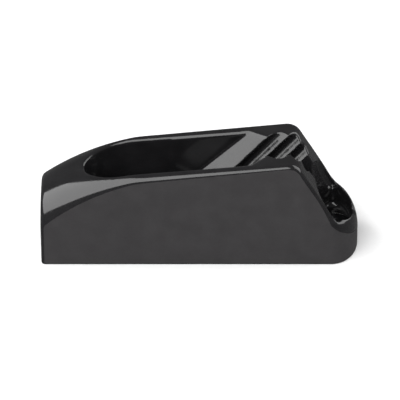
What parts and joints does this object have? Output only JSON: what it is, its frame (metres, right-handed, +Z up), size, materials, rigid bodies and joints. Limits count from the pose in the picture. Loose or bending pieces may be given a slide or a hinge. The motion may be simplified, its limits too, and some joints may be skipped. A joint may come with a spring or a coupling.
{
  "type": "jam cleat",
  "caption": "Moulded V-jaw rope jam cleat with a closed nose tunnel, smooth pocket, inclined ridged jaws and a rounded front lip, held down by two countersunk screws.",
  "frame": {"origin": "on the base plane, midway between the two fixing screws", "axes": "+Z up from the base plane, +X from the closed nose towards the low front lip, Y across the cleat"},
  "size_m": [0.066, 0.0166, 0.0391],
  "materials": {
    "black_nylon": "glossy black moulded nylon, finer matte texture on the flat side panels",
    "screw_steel": "black-passivated stainless steel, turned and cross-recessed"
  },
  "bodies": {
    "root": {"cleat_body": "black_nylon", "rear_fixing_screw": "screw_steel", "front_fixing_screw": "screw_steel"}
  },
  "joints": []
}
